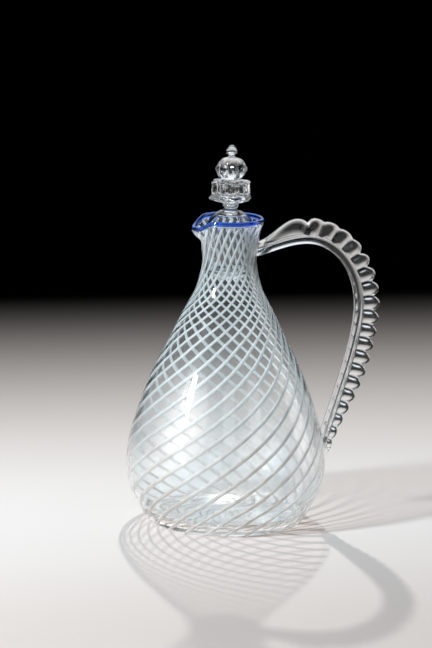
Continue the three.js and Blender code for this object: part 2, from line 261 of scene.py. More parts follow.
pull_sizes = {name: "Float" for name in spout}
pulled_lip, size, given_out = new_tree(
    "pulled lip",
    "GeometryNodeTree",
    {"Geometry": "Geometry", **pull_sizes},
    {"Geometry": "Geometry"},
)
x, y, z = apart(pulled_lip, put(pulled_lip, "GeometryNodeInputPosition"))
radius = distance(x, y).sum("MAXIMUM", 1e-6)
from_spout = y.sum("ABSOLUTE").sum("ARCTAN2", x * -1)
rise = z.ramp(size["Spout Start"], size["Lip Height"])
drop = from_spout.ramp(size["Spout Flat Angle"], size["Spout Half Angle"], 1.0, 0.0)
bend = (from_spout / size["Spout Half Angle"]).sum("MINIMUM", 1.0) * (math.pi / 2)
out = size["Spout Reach"] * rise * bend.cos() * bend.cos() / radius
pulled = put(
    pulled_lip,
    "GeometryNodeSetPosition",
    {
        "Geometry": size["Geometry"],
        "Offset": xyz(pulled_lip, x * out, y * out, size["Spout Drop"] * rise * drop * -1),
    },
)
plug_in(pulled_lip, given_out["Geometry"], pulled)


def grid_places(tree, line, around):
    """A sheet with a row for each point of the line: its mesh, its turn and its row."""
    count = put(tree, "GeometryNodeAttributeDomainSize", {"Geometry": line})
    mesh = put(
        tree,
        "GeometryNodeMeshGrid",
        {"Size X": 1.0, "Size Y": 1.0, "Vertices X": around + 1, "Vertices Y": count},
    )
    u, v, _ = apart(tree, put(tree, "GeometryNodeInputPosition"))
    row = ((v + 0.5) * (count - 1)).sum("ROUND")
    return mesh, (u + 0.5) * (2 * math.pi), row, count


def line_at(tree, line, row):
    """The three parts of the place of one point of the line."""
    at = put(
        tree,
        "GeometryNodeSampleIndex",
        {"Geometry": line, "Value": put(tree, "GeometryNodeInputPosition"), "Index": row},
        data_type="FLOAT_VECTOR",
    )
    return apart(tree, at)


def slope_at(tree, line, row, count):
    """How far the line runs and rises past one of its points, and the length of both."""
    before = line_at(tree, line, (row - 1).sum("MAXIMUM", 0.0))
    after = line_at(tree, line, (row + 1).sum("MINIMUM", count - 1))
    across, up = after[0] - before[0], after[2] - before[2]
    return across, up, distance(across, up)


def round_place(tree, radius, turn, height):
    return xyz(tree, radius * turn.cos(), radius * turn.sin(), height)


def laid_out(tree, mesh, place):
    """The sheet with its points at their places, and closed where its edges meet."""
    mesh = put(tree, "GeometryNodeSetPosition", {"Geometry": mesh, "Position": place})
    return put(tree, "GeometryNodeMergeByDistance", {"Geometry": mesh, "Distance": 1e-6})


def finish_off(tree, mesh, size, given_out):
    """Pulls the lip, sets the piece on the jug's axis, and gives it its glass."""
    pulls = {"Geometry": mesh, **{name: size[name] for name in spout}}
    mesh = put(tree, "GeometryNodeGroup", pulls, node_tree=pulled_lip)
    mesh = put(tree, "GeometryNodeTransform", {"Geometry": mesh, "Translation": tuple(axis)})
    mesh = put(tree, "GeometryNodeSetShadeSmooth", {"Geometry": mesh})
    mesh = put(tree, "GeometryNodeRealizeInstances", {"Geometry": mesh})
    mesh = put(tree, "GeometryNodeSetMaterial", {"Geometry": mesh, "Material": size["Glass"]})
    plug_in(tree, given_out["Geometry"], mesh)


# A turned piece: the line's points are radius, depth of the ribs, and height.
waver_seed = 3.0
turned, size, given_out = new_tree(
    "turned glass",
    "GeometryNodeTree",
    {
        "Geometry": "Geometry",
        "Around": "Int",
        "Ribs": "Int",
        "Waver": "Float",
        "Waver Scale": "Float",
        "Waver Draw": "Vector",
        "Crimp": "Float",
        "Glass": "Material",
        **pull_sizes,
    },
    {"Geometry": "Geometry"},
)
mesh, turn, row, _ = grid_places(turned, size["Geometry"], size["Around"])
radius, depth, height = line_at(turned, size["Geometry"], row)
ridge = (turn * size["Ribs"] / 2).sin().sum("ABSOLUTE") * -2 + 1
place = round_place(turned, radius, turn, height)
stretched = put(
    turned, "ShaderNodeVectorMath", {0: place, 1: size["Waver Draw"]}, operation="MULTIPLY"
)
swell = put(
    turned,
    "ShaderNodeTexNoise",
    {"Vector": stretched, "Scale": size["Waver Scale"], "Detail": 1.0, "W": waver_seed},
    noise_dimensions="4D",
)
radius = radius + depth * (ridge + (swell - 0.5) * size["Crimp"])
mesh = laid_out(turned, mesh, round_place(turned, radius, turn, height))
along = put(
    turned,
    "ShaderNodeVectorMath",
    {0: put(turned, "GeometryNodeInputNormal"), "Scale": (swell - 0.5) * size["Waver"]},
    operation="SCALE",
)
mesh = put(turned, "GeometryNodeSetPosition", {"Geometry": mesh, "Offset": along})
finish_off(turned, mesh, size, given_out)


def placed(name, data):
    """An object of that name, in the scene."""
    thing = bpy.data.objects.new(name, data)
    bpy.context.scene.collection.objects.link(thing)
    return thing


def shaped(name, line, tree, sizes):
    """Gives the line its tree and keeps the solid that comes out as a plain mesh."""
    start = bpy.data.meshes.new(name + "_line")
    start.from_pydata(
        [Vector(point) * mm for point in line], [(i, i + 1) for i in range(len(line) - 1)], []
    )
    piece = placed(name, start)
    modifier = piece.modifiers.new("shape", "NODES")
    modifier.node_group = tree
    for socket in tree.interface.items_tree:
        if socket.item_type == "SOCKET" and socket.name in sizes:
            modifier[socket.identifier] = sizes[socket.name]
    seen = piece.evaluated_get(bpy.context.evaluated_depsgraph_get())
    solid = bpy.data.meshes.new_from_object(seen)
    piece.modifiers.remove(modifier)
    piece.data = solid
    bpy.data.meshes.remove(start)
    volume = sum(
        solid.vertices[a].co.dot(solid.vertices[b].co.cross(solid.vertices[c].co))
        for a, b, c in (t.vertices for t in solid.loop_triangles)
    )
    if volume < 0:
        solid.flip_normals()
    return piece


# What hand work leaves in glass: a slow swell along the blow, seeds, patches wiped
# dull, a cloud in the colour, a film that thins towards the base, a worn foot, and
# the swirl of the last gather, which lies thicker under the base.
wipe_scale = 46.0
cloud_scale = 21.0
seed_edge = (0.06, 0.16)
swell_share = 0.8
seed_rise = 0.25
polished = 0.012
wiped_dull = 0.055
seed_dull = 0.1
thinnest_film = 0.55
film_low = 0.008
film_high = 0.04
film_at_base = 0.04
foot_wear = 0.7
swirl = 40
swirl_rings = 9
swirl_scale = 9.0
gather_edge = 0.92
gather_low = 0.006
gather_high = 0.009
palest_gather = 0.35


def noise(tree, place, scale, detail):
    return put(tree, "ShaderNodeTexNoise", {"Vector": place, "Scale": scale, "Detail": detail})


hand_work, size, given_out = new_tree(
    "hand work",
    "ShaderNodeTree",
    {
        "Swell Scale": "Float",
        "Draw": "Vector",
        "Seed Scale": "Float",
        "Seed Share": "Float",
        "Bloom Top": "Float",
        "Bloom Bottom": "Float",
        "Wear Height": "Float",
        "Axis": "Vector",
        "Gather Radius": "Float",
    },
    {name: "Float" for name in ("Height", "Roughness", "Cloud", "Bloom", "Gather")},
)
here = outlet(put(hand_work, "ShaderNodeTexCoord"), "Object")
run = put(hand_work, "ShaderNodeVectorMath", {0: here, 1: size["Draw"]}, operation="MULTIPLY")
swell = noise(hand_work, run, size["Swell Scale"], 2.0)
wiped = noise(hand_work, here, wipe_scale, 4.0)
cloud = noise(hand_work, here, cloud_scale, 2.0)
seeds = put(hand_work, "ShaderNodeTexVoronoi", {"Vector": here, "Scale": size["Seed Scale"]})
odd = put(hand_work, "ShaderNodeSeparateColor", {"Color": outlet(seeds, "Color")})
seed = seeds.ramp(*seed_edge, 1.0, 0.0) * odd.ramp(size["Seed Share"], 0.0, 0.0, 1.0)
dull = wiped.ramp(0.45, 0.75, polished, wiped_dull) + seed * seed_dull
plug_in(hand_work, given_out["Height"], swell * swell_share + seed * seed_rise)
plug_in(hand_work, given_out["Roughness"], dull)
plug_in(hand_work, given_out["Cloud"], cloud.ramp(0.35, 0.65))
_, _, height = apart(hand_work, here)
film = height.ramp(size["Bloom Bottom"], size["Bloom Top"], 1.0, 0.0)
film = film * cloud.ramp(0.25, 0.6, thinnest_film, 1.0)
film = film * height.ramp(film_low, film_high, film_at_base, 1.0)
wear = height.ramp(size["Wear Height"] * 0.5, size["Wear Height"], foot_wear, 0.0)
plug_in(hand_work, given_out["Bloom"], film.sum("MAXIMUM", wear))
from_axis = put(
    hand_work, "ShaderNodeVectorMath", {0: here, 1: size["Axis"]}, operation="SUBTRACT"
)
x, y, _ = apart(hand_work, from_axis)
radius = distance(x, y)
curl = y.sum("ARCTAN2", x) + radius * swirl
streaks = noise(
    hand_work, xyz(hand_work, curl.cos(), curl.sin(), radius * swirl_rings), swirl_scale, 2.0
)
gather = radius.ramp(size["Gather Radius"] * gather_edge, size["Gather Radius"], 1.0, 0.0)
gather = gather * height.ramp(gather_low, gather_high, 1.0, 0.0)
gather = gather * streaks.ramp(0.35, 0.65, palest_gather, 1.0)
plug_in(hand_work, given_out["Gather"], gather)


def rgb(red, green, blue):
    """A colour as it is seen on a screen, from 0 to 255, as the renderer wants it."""
    linear = [
        s / 12.92 if s <= 0.04045 else ((s + 0.055) / 1.055) ** 2.4
        for s in (red / 255, green / 255, blue / 255)
    ]
    return (*linear, 1.0)


def mix(tree, share, first, second):
    """A colour between two others, by a share from 0 to 1."""
    return put(tree, "ShaderNodeMix", {0: share, "A": first, "B": second}, data_type="RGBA")


def bare_material(name):
    """A material and its tree, with nothing in it yet."""
    material = bpy.data.materials.new(name)
    material.use_nodes = True
    material.node_tree.nodes.clear()
    return material, material.node_tree


def end_in(tree, kind, shader):
    """Gives the finished shader to the end of its tree."""
    plug_in(tree, tree.nodes.new(kind).inputs["Surface"], shader)


def let_through(tree, body, through, kinds=("Is Shadow Ray", "Is Diffuse Ray")):
    """The shader itself where it is seen, and a plain tint on the way to lamps and sky."""
    rays = put(tree, "ShaderNodeLightPath")
    for kind in kinds:
        body = put(tree, "ShaderNodeMixShader", {0: outlet(rays, kind), 1: body, 2: through})
    end_in(tree, "ShaderNodeOutputMaterial", body)


seed_scale = 230.0
seeds_shown = 0.2
wear_height = 4 * mm
work_depth = 0.8 * mm
gather_tint = rgb(208, 226, 233)
dark_edge_from = 0.8


def glass(
    name,
    thin,
    thick,
    shade,
    edge_shade,
    swell_scale,
    draw,
    bump,
    bloom=(-0.02, -0.01),
    film=0.0,
    coat=0.0,
    gathered=0.0,
):
    """Clear or coloured glass that lets the lamps through, tinted, to what stands behind it."""
    material, tree = bare_material(name)
    worked = put(
        tree,
        "ShaderNodeGroup",
        {
            "Swell Scale": swell_scale,
            "Draw": draw,
            "Seed Scale": seed_scale,
            "Seed Share": seeds_shown,
            "Bloom Bottom": bloom[0],
            "Bloom Top": bloom[1],
            "Wear Height": wear_height,
            "Axis": tuple(axis),
            "Gather Radius": gathered,
        },
        node_tree=hand_work,
    )
    bloomed = outlet(worked, "Bloom")
    tint = mix(tree, outlet(worked, "Cloud"), thin, thick)
    tint = mix(tree, outlet(worked, "Gather"), tint, gather_tint)
    bumped = put(
        tree,
        "ShaderNodeBump",
        {"Strength": bump, "Distance": work_depth, "Height": outlet(worked, "Height")},
    )
    body = put(
        tree,
        "ShaderNodeBsdfPrincipled",
        {
            "Base Color": tint,
            "Roughness": outlet(worked, "Roughness") + bloomed * film,
            "IOR": 1.5,
            "Metallic": 0.0,
            "Transmission Weight": 1.0,
            "Coat Weight": bloomed * coat,
            "Coat Roughness": 0.5,
            "Coat IOR": 2.0,
            "Normal": bumped,
        },
    )
    grazing = put(tree, "ShaderNodeLayerWeight", {"Blend": 0.5})
    grazing = outlet(grazing, "Facing").ramp(dark_edge_from, 1.0)
    cast = mix(tree, grazing, shade, edge_shade)
    through = put(tree, "ShaderNodeBsdfTransparent", {"Color": cast})
    let_through(tree, body, through)
    return material


wall_glass = glass(
    "clear_blown_glass",
    thin=rgb(254, 255, 255),
    thick=rgb(243, 251, 255),
    shade=rgb(254, 252, 251),
    edge_shade=rgb(80, 74, 70),
    swell_scale=26.0,
    draw=(1.0, 1.0, 0.35),
    bump=0.006,
    bloom=(0.045, 0.105),
    film=0.05,
    coat=0.85,
    gathered=0.037,
)
vessel = shaped(
    "vessel",
    [(r, 0, z) for r, z in wall_line],
    turned,
    {
        "Around": 240,
        "Ribs": 0,
        "Waver": 0.012 * mm,
        "Waver Scale": 30.0,
        "Waver Draw": (1.0, 1.0, 1.0),
        "Glass": wall_glass,
        **spout,
    },
)
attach(vessel, "jug")
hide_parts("vessel")

# The canes. Twenty-four milk-white rods are picked up hot on the gather, rolled
# in flush and twisted, most of all at the shoulder. Blowing spreads them over the
# belly, draws them thin at the neck, and runs them to the mark of the rod below.
canes = 24
cane_twist = math.radians(1.42)
shoulder_turn = math.radians(30)
shoulder_low = 102.0
cane_thickness = 0.9
cane_depth = 0.14
cane_share_neck = 0.40
cane_share_body = 0.27
cane_share_base = 0.24
cane_end = 1.6
neck_share_from = 0.72
cane_wander = 0.5
wander_scale = 60.0
wander_seed = 8.0

twisted, size, given_out = new_tree(
    "twisted canes",
    "GeometryNodeTree",
    {
        "Geometry": "Geometry",
        "Canes": "Int",
        "Around": "Int",
        "Twist": "Float",
        "Shoulder Turn": "Float",
        "Shoulder Height": "Float",
        "Thickness": "Float",
        "Depth": "Float",
        "Share at Base": "Float",
        "Share on Body": "Float",
        "Share at Neck": "Float",
        "Belly Height": "Float",
        "Neck Height": "Float",
        "Rounded End": "Float",
        "Wander": "Float",
        "Glass": "Material",
        **pull_sizes,
    },
    {"Geometry": "Geometry"},
)
mesh, round_cane, row, count = grid_places(twisted, size["Geometry"], size["Around"])
radius, run, height = line_at(twisted, size["Geometry"], row)
across, up, length = slope_at(twisted, size["Geometry"], row, count)
total = line_at(twisted, size["Geometry"], count - 1)[1]
ends = run.sum("MINIMUM", total - run) / size["Rounded End"]
ends = ends.sum("MINIMUM", 1.0)
full = (ends * 2 - ends * ends).sum("MAXIMUM", 0.0).sum("SQRT")
pitch = put(twisted, "ShaderNodeValue")
pitch.socket.default_value = 2 * math.pi
pitch = pitch / size["Canes"]
base_share = height.ramp(0.0, size["Belly Height"], size["Share at Base"], size["Share on Body"])
narrow = size["Neck Height"] * neck_share_from
share = height.ramp(narrow, size["Neck Height"], base_share, size["Share at Neck"])
half = pitch * share * full / 2
turn = run / mm * size["Twist"] + round_cane.cos() * half
turn = turn + height.ramp(size["Shoulder Height"], size["Neck Height"], 0.0, size["Shoulder Turn"])
down = size["Depth"] + size["Thickness"] / 2 - round_cane.sin() * full * size["Thickness"] / 2
cane_radius = radius - up / length * down
cane_height = height + across / length * down
mesh = laid_out(twisted, mesh, round_place(twisted, cane_radius, turn, cane_height))
points = put(
    twisted,
    "GeometryNodeMeshLine",
    {"Count": size["Canes"], "Start Location": (0, 0, 0), "Offset": (0, 0, 0)},
)
spin = xyz(twisted, 0.0, 0.0, put(twisted, "GeometryNodeInputIndex") * pitch)
mesh = put(
    twisted, "GeometryNodeInstanceOnPoints", {"Points": points, "Instance": mesh, "Rotation": spin}
)
mesh = put(twisted, "GeometryNodeRealizeInstances", {"Geometry": mesh})
here = put(twisted, "GeometryNodeInputPosition")
x, y, _ = apart(twisted, here)
wander = put(
    twisted,
    "ShaderNodeTexNoise",
    {"Vector": here, "Scale": wander_scale, "Detail": 1.0, "W": wander_seed},
    noise_dimensions="4D",
)
shift = (wander - 0.5) * size["Wander"] / distance(x, y).sum("MAXIMUM", 1e-4)
mesh = put(
    twisted,
    "GeometryNodeSetPosition",
    {"Geometry": mesh, "Offset": xyz(twisted, y * shift * -1, x * shift, 0.0)},
)
finish_off(twisted, mesh, size, given_out)

# The canes carry painted shade and painted light: their colour is painted greyer and darker low on
# the body and bluer and lighter high up, for how the light falls on them.
painted_shade_milk = rgb(154, 154, 151)
painted_light_milk = rgb(176, 204, 219)
milk_streak = rgb(222, 230, 234)
streak_share = 0.35
milk_shade = rgb(180, 171, 165)
painted_shade_to = 0.035
painted_light_from = 0.10
milk_bump = 0.15
milk_depth = 0.4 * mm

milk_glass, tree = bare_material("milk_white_cane")
worked = put(
    tree,
    "ShaderNodeGroup",
    {"Swell Scale": 120.0, "Draw": (1.0, 1.0, 0.4), "Seed Scale": 400.0, "Seed Share": 0.1},
    node_tree=hand_work,
)
_, _, height = apart(tree, outlet(put(tree, "ShaderNodeTexCoord"), "Object"))
# Painted shade low on the canes and painted light high up, by height.
milk = mix(tree, height.ramp(painted_shade_to, painted_light_from), painted_shade_milk, painted_light_milk)
milk = mix(tree, outlet(worked, "Cloud") * streak_share, milk, milk_streak)
bumped = put(
    tree,
    "ShaderNodeBump",
    {"Strength": milk_bump, "Distance": milk_depth, "Height": outlet(worked, "Height")},
)
body = put(
    tree,
    "ShaderNodeBsdfPrincipled",
    {
        "Base Color": milk,
        "Roughness": 0.4,
        "IOR": 1.5,
        "Metallic": 0.0,
        "Transmission Weight": 0.0,
        "Subsurface Weight": 1.0,
        "Subsurface Radius": (1.0, 1.0, 1.0),
        "Subsurface Scale": 0.006,
        "Specular IOR Level": 0.1,
        "Normal": bumped,
    },
)
through = put(tree, "ShaderNodeBsdfTransparent", {"Color": milk_shade})
let_through(tree, body, through, ("Is Shadow Ray",))

cane_line = [(pontil_radius, underside(pontil_radius))]
cane_line += [p for p in under if p[0] > pontil_radius] + foot_ring + side[:-1]
runs = [0.0]
for a, b in zip(cane_line, cane_line[1:]):
    runs.append(runs[-1] + math.dist(a, b))
canes_piece = shaped(
    "canes",
    [(r, run, z) for (r, z), run in zip(cane_line, runs)],
    twisted,
    {
        "Canes": canes,
        "Around": 10,
        "Twist": cane_twist,
        "Shoulder Turn": shoulder_turn,
        "Shoulder Height": shoulder_low * mm,
        "Thickness": cane_thickness * mm,
        "Depth": cane_depth * mm,
        "Share at Base": cane_share_base,
        "Share on Body": cane_share_body,
        "Share at Neck": cane_share_neck,
        "Belly Height": belly[1] * mm,
        "Neck Height": neck[1] * mm,
        "Rounded End": cane_end * mm,
        "Wander": cane_wander * mm,
        "Glass": milk_glass,
        **spout,
    },
)
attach(canes_piece, "jug")
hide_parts(*[f"cane_{k + 1:02d}" for k in range(canes)])

# The blue thread. A trail of cobalt glass is laid once round the hot edge of the
# lip and melted to it, so that it rises and dips with the pull of the spout.
thread_width = 2.6
thread_height = 2.7
thread_gap = 0.3
thread_sides = 20

cobalt = glass(
    "cobalt_thread",
    thin=rgb(60, 130, 245),
    thick=rgb(35, 100, 238),
    shade=rgb(130, 160, 235),
    edge_shade=rgb(70, 110, 220),
    swell_scale=90.0,
    draw=(1.0, 1.0, 1.0),
    bump=0.08,
)
thread_middle = lip[1] + thread_gap + thread_height / 2
thread_line = [
    (
        lip[0] - neck_wall / 2 + thread_width / 2 * math.cos(math.tau * i / thread_sides),
        0,
        thread_middle + thread_height / 2 * math.sin(math.tau * i / thread_sides),
    )
    for i in range(thread_sides + 1)
]
thread = shaped(
    "lip_wrap",
    thread_line,
    turned,
    {
        "Around": 200,
        "Ribs": 0,
        "Waver": 0.15 * mm,
        "Waver Scale": 34.0,
        "Waver Draw": (1.0, 1.0, 1.0),
        "Glass": cobalt,
        **spout,
    },
)
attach(thread, "jug")
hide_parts("lip_wrap")

# The handle. A strap of clear glass is drawn from the neck, looped over and set on
# the body, and both its ends sink a little into the wall. A second trail along its
# back is pinched with tongs into a row of thin lobes, and ends in a plain tail.
root_height = 155.0
crown = (43.5, 161.3)
reach = (77.3, 120.0)
foot_height = 37.0
rod_thickness = 4.2
rod_width = 8.6
trail_width = 6.6
fins = 1
fins_share = 0.175
lobes = 19
lobe_height = 10.0
trail_foot_height = 4.0
neck_bite = 1.2
body_bite = 1.4
reed_depth = 0.3
reeds_across = 22.0
end_length = 0.05
end_spread = 1.45
fin_lean = 2.6
pinch_roundness = 0.6
start_length = 0.16
start_height = 0.34
tail_start = 0.68
fin_dip = 0.32
next_dip = 0.14
bead_dip = 0.28
root_depth = 1.0
foot_stand = 0.5
trail_from = 0.44
trail_full = 0.47
bend_steps = 60
handle_steps = 300
unpulled = {**spout, "Spout Reach": 0.0, "Spout Drop": 0.0}


def outside_radius(height):
    """Radius of the outside of the wall at a height over the heel."""
    for low, high in zip(side, side[1:]):
        if high[1] >= height:
            return low[0] + (high[0] - low[0]) * (height - low[1]) / (high[1] - low[1])


def bezier(a, b, c, d, steps):
    """A bend from a to d, without its last point."""
    line = []
    for i in range(steps):
        t = i / steps
        s = 1 - t
        line.append(
            tuple(
                s**3 * p + 3 * s * s * t * q + 3 * s * t * t * r + t**3 * w
                for p, q, r, w in zip(a, b, c, d)
            )
        )
    return line


def evened(line, steps):
    """The same line with its points at even distances."""
    lengths = [0.0]
    for a, b in zip(line, line[1:]):
        lengths.append(lengths[-1] + math.dist(a, b))
    even = []
    n = 0
    for i in range(steps + 1):
        at = lengths[-1] * i / steps
        while n < len(line) - 2 and lengths[n + 1] < at:
            n += 1
        t = (at - lengths[n]) / (lengths[n + 1] - lengths[n])
        even.append(tuple(p + (q - p) * t for p, q in zip(line[n], line[n + 1])))
    return even


root = (neck[0] - root_depth, root_height)
foot = (outside_radius(foot_height) + foot_stand, foot_height)
over = crown[0] - neck[0]
drop = crown[1] - reach[1]
fall = reach[1] - foot_height
handle_line = bezier(
    root,
    (root[0] + over * 0.35, root_height + 2),
    (crown[0] - over * 0.4, crown[1]),
    crown,
    bend_steps,
)
handle_line += bezier(
    crown,
    (crown[0] + (reach[0] - crown[0]) * 0.53, crown[1]),
    (reach[0], reach[1] + drop * 0.58),
    reach,
    bend_steps,
)
handle_line += bezier(
    reach,
    (reach[0], reach[1] - fall * 0.27),
    (foot[0] + 5.2, foot_height + fall * 0.25),
    foot,
    bend_steps,
)
handle_line = evened(handle_line + [foot], handle_steps)

pinched, size, given_out = new_tree(
    "pinched handle",
    "GeometryNodeTree",
    {
        "Geometry": "Geometry",
        "Around": "Int",
        "Fins": "Int",
        "Fins Share": "Float",
        "Lobes": "Int",
        "Strap Thickness": "Float",
        "Strap Width": "Float",
        "Trail Width": "Float",
        "Lobe Height": "Float",
        "Tail Height": "Float",
        "Reed Depth": "Float",
        "Neck Seat": "Float",
        "Body Seat": "Float",
        "Glass": "Material",
        **pull_sizes,
    },
    {"Geometry": "Geometry"},
)
mesh, turn, row, count = grid_places(pinched, size["Geometry"], size["Around"])
x, _, z = line_at(pinched, size["Geometry"], row)
across, up, length = slope_at(pinched, size["Geometry"], row, count)
share = row / (count - 1)
end = share.sum("MINIMUM", share * -1 + 1)
spread = end.ramp(0.0, end_length, end_spread, 1.0)
passed = share.ramp(0.0, size["Fins Share"], 0.0, size["Fins"], False)
passed = passed + share.ramp(size["Fins Share"], 1.0, 0.0, size["Lobes"], False)
lean = share.ramp(size["Fins Share"] * 0.98, size["Fins Share"] * 1.02, fin_lean, 1.0)
pinch = (passed.sum("FRACT") ** lean * math.pi).sin().sum("ABSOLUTE") ** pinch_roundness
swell = share.ramp(0.0, start_length, start_height, 1.0)
fade = share.ramp(tail_start, 1.0)
tall = size["Lobe Height"] * swell
tall = tall + (size["Tail Height"] - tall) * fade
dip = share.ramp(size["Fins Share"] * 1.05, size["Fins Share"] * 1.2, fin_dip, next_dip)
dip = dip + share.ramp(size["Fins Share"] * 1.75, size["Fins Share"] * 1.95, 0.0, bead_dip)
tall = tall * (pinch * dip - dip + 1)


def contour(tree, at, points):
    """A smooth rule drawn through the points, from 0 to 1."""
    node = tree.nodes.new("ShaderNodeFloatCurve")
    curve = node.mapping.curves[0]
    curve.points[0].location = points[0]
    curve.points[1].location = points[-1]
    for point in points[1:-1]:
        curve.points.new(*point)
    node.mapping.update()
    plug_in(tree, node.inputs["Value"], at)
    return Wire(tree, node.outputs[0])


# From the middle of the strap's underside, round its edge, to the top of the trail.
about = (turn * -1 + math.pi).sum("ABSOLUTE") / math.pi
about = about * -1 + 1
hand = (turn * -1 + math.pi).sum("SIGN")
strap_across = contour(
    pinched,
    about,
    [
        (0, 0),
        (0.1, 0.5),
        (0.2, 0.88),
        (0.28, 1),
        (0.36, 0.95),
        (0.42, 0.78),
        (0.46, 0.62),
        (1, 0.6),
    ],
)
strap_down = contour(
    pinched,
    about,
    [(0, 1), (0.1, 0.99), (0.2, 0.82), (0.28, 0.5), (0.36, 0.18), (0.42, 0.03), (0.46, 0), (1, 0)],
)
full_across = contour(
    pinched,
    about,
    [(0, 0.9), (0.46, 0.9), (0.55, 1), (0.68, 0.98), (0.8, 0.86), (0.92, 0.5), (1, 0)],
)
thin_across = contour(
    pinched,
    about,
    [(0, 0.9), (0.46, 0.8), (0.55, 0.62), (0.68, 0.52), (0.8, 0.48), (0.92, 0.34), (1, 0)],
)
trail_out = contour(
    pinched,
    about,
    [(0, 0), (0.46, 0), (0.55, 0.2), (0.68, 0.52), (0.8, 0.8), (0.92, 0.97), (1, 1)],
)
on_trail = about.ramp(trail_from, trail_full)
strap_half = strap_across * size["Strap Width"] / 2 * spread
trail_across = full_across + (thin_across - full_across) * pinch
trail_half = trail_across * size["Trail Width"] / 2 * spread
half = strap_half + (trail_half - strap_half) * on_trail
reeds = (strap_across * reeds_across).cos() * size["Reed Depth"] * (on_trail * -1 + 1)
outward = trail_out * tall - strap_down * size["Strap Thickness"] - reeds * strap_down
x = x - up / length * outward
y = half * hand
off_axis = distance(x, y)
seat = share.ramp(0.0, 1.0, size["Neck Seat"], size["Body Seat"], False)
pressed = off_axis.sum("MAXIMUM", seat) / off_axis
place = xyz(pinched, x * pressed, y * pressed, z + across / length * outward)
mesh = laid_out(pinched, mesh, place)
finish_off(pinched, mesh, size, given_out)

handle_glass = glass(
    "clear_pinched_glass",
    thin=rgb(253, 254, 255),
    thick=rgb(246, 250, 252),
    shade=rgb(118, 114, 112),
    edge_shade=rgb(84, 81, 79),
    swell_scale=90.0,
    draw=(0.6, 1.5, 0.6),
    bump=0.2,
)
handle = shaped(
    "handle",
    [(x, 0, z) for x, z in handle_line],
    pinched,
    {
        "Around": 64,
        "Fins": fins,
        "Fins Share": fins_share,
        "Lobes": lobes,
        "Strap Thickness": rod_thickness * mm,
        "Strap Width": rod_width * mm,
        "Trail Width": trail_width * mm,
        "Lobe Height": lobe_height * mm,
        "Tail Height": trail_foot_height * mm,
        "Reed Depth": reed_depth * mm,
        "Neck Seat": (outside_radius(root_height) - neck_bite) * mm,
        "Body Seat": (outside_radius(foot_height) - body_bite) * mm,
        "Glass": handle_glass,
        **unpulled,
    },
)
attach(handle, "jug")
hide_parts("handle_rod", "handle_trail")

# The stopper. A plug blown hollow, open below and ground to fit the neck; on its
# dome a solid stem, a wide knop crimped at both edges into ears, a round ribbed
# knop, and a button drawn off it, all in the same clear glass.
inside_line = [p for p in grown(side, wall_at) if p[1] > 100]


def inside_radius(height):
    """Radius of the inside of the neck at a height."""
    for low, high in zip(inside_line, inside_line[1:]):
        if high[1] >= height:
            return low[0] + (high[0] - low[0]) * (height - low[1]) / (high[1] - low[1])


plug_depth = 11.6
plug_length = 19.5
dome_rise = 18.6
plug_gap = 0.3
plug_taper = 4
plug_steps = 8
stopper_steps = 300
plug_seat = lip[1] - plug_depth
plug_bottom = plug_seat - plug_length
plug_top = plug_seat + dome_rise
seat_radius = inside_radius(plug_seat) - plug_gap
plug_wall = 1.5
dome = plug_top - plug_seat
plug_line = [
    (7.6, plug_bottom + 0.2),
    (9.6, plug_bottom + 0.9),
    (11.2, plug_bottom + 2.0),
    (12.2, plug_bottom + 3.2),
]
for i in range(plug_steps + 1):
    height = neck[1] - plug_taper + (plug_seat - neck[1] + plug_taper) * i / plug_steps
    plug_line.append((inside_radius(height) - plug_gap, height))
plug_line += [
    (seat_radius + 0.3, plug_seat + dome * 0.12),
    (seat_radius + 0.3, plug_seat + dome * 0.3),
    (seat_radius, plug_seat + dome * 0.42),
    (seat_radius - 0.6, plug_seat + dome * 0.55),
    (seat_radius - 1.7, plug_seat + dome * 0.68),
    (seat_radius - 3.4, plug_seat + dome * 0.80),
    (7.4, plug_seat + dome * 0.93),
    (4.9, plug_top - 0.2),
]
hollow = grown(plug_line, lambda height: plug_wall)[::-1]
stopper_line = [(0, 0, hollow[1][1] + 0.5)]
stopper_line += [(x, 0, z) for x, z in hollow[1:]]
stopper_line += [
    (6.8, 0, plug_bottom + 1.4),
    (6.7, 0, plug_bottom + 0.7),
    (7.0, 0, plug_bottom + 0.2),
]
stopper_line += [(x, 0, z) for x, z in plug_line]
stopper_line += [(4.0, 0, plug_top + 0.5)]
gather_base = plug_top + 0.3
stopper_line += [
    (3.4, 0, gather_base + 0.8),
    (3.6, 0, gather_base + 1.4),
    (4.3, 0, gather_base + 2.0),
    (4.5, 0, gather_base + 2.6),
    (4.1, 0, gather_base + 3.3),
]
knop_base = gather_base + 3.8
knop_rise = 13.1
knop_wide = 11.4
for share, wide, rib in (
    (0.0, 0.44, 0.0),
    (0.06, 0.66, 0.03),
    (0.12, 0.83, 0.06),
    (0.17, 0.95, 0.09),
    (0.22, 0.98, 0.10),
    (0.28, 0.95, 0.09),
    (0.36, 0.88, 0.09),
    (0.47, 0.86, 0.09),
    (0.6, 0.86, 0.09),
    (0.72, 0.85, 0.09),
    (0.80, 0.86, 0.09),
    (0.88, 0.89, 0.10),
    (0.94, 0.79, 0.08),
    (0.99, 0.58, 0.02),
):
    stopper_line.append((knop_wide * wide, knop_wide * rib, knop_base + knop_rise * share))
upper_base = knop_base + knop_rise + 0.3
upper_rise = 12.0
upper_wide = 8.4
for share, wide, rib in (
    (0.0, 0.60, 0.01),
    (0.08, 0.74, 0.03),
    (0.2, 0.85, 0.05),
    (0.33, 0.94, 0.07),
    (0.46, 1.0, 0.09),
    (0.54, 0.97, 0.08),
    (0.64, 0.89, 0.06),
    (0.77, 0.81, 0.05),
    (0.88, 0.69, 0.04),
    (0.95, 0.53, 0.02),
):
    stopper_line.append((upper_wide * wide, upper_wide * rib, upper_base + upper_rise * share))
finial_base = upper_base + upper_rise + 0.3
